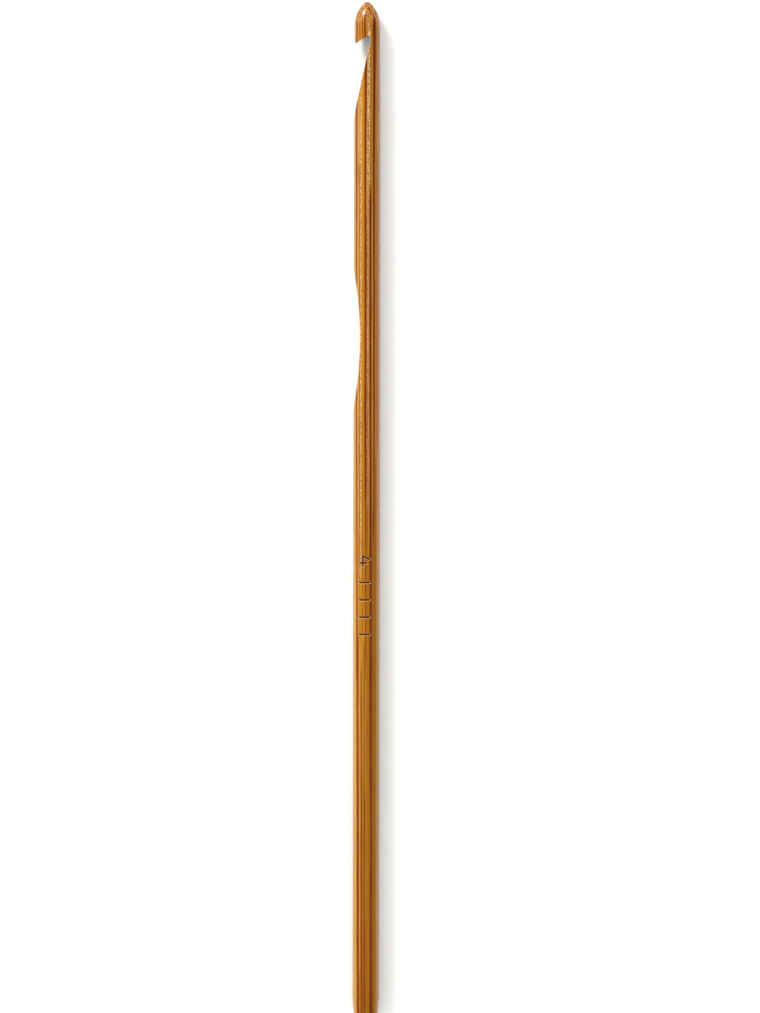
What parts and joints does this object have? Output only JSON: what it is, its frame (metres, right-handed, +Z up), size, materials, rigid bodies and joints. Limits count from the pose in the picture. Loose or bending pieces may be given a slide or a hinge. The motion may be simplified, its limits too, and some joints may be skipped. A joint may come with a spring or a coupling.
{
  "type": "crochet hook",
  "caption": "Slim carved bamboo crochet hook with a rounded nose, undercut lip, sloping throat, scooped thumb rest and plain round handle.",
  "frame": {"origin": "on the surface the hook lies on, below the middle of its length", "axes": "+Y along the hook towards its tip, -X the side that the throat and thumb rest face, +Z up, with the size mark on top"},
  "size_m": [0.004, 0.156, 0.004],
  "materials": {
    "bamboo": "semi-gloss clear finish over carbonised bamboo, with dark red-brown fibre streaks along its length",
    "mark_fill": "matt dark brown pigment"
  },
  "bodies": {
    "root": {"head": "bamboo", "shank": "bamboo", "size_mark_fill": "mark_fill"}
  },
  "joints": []
}
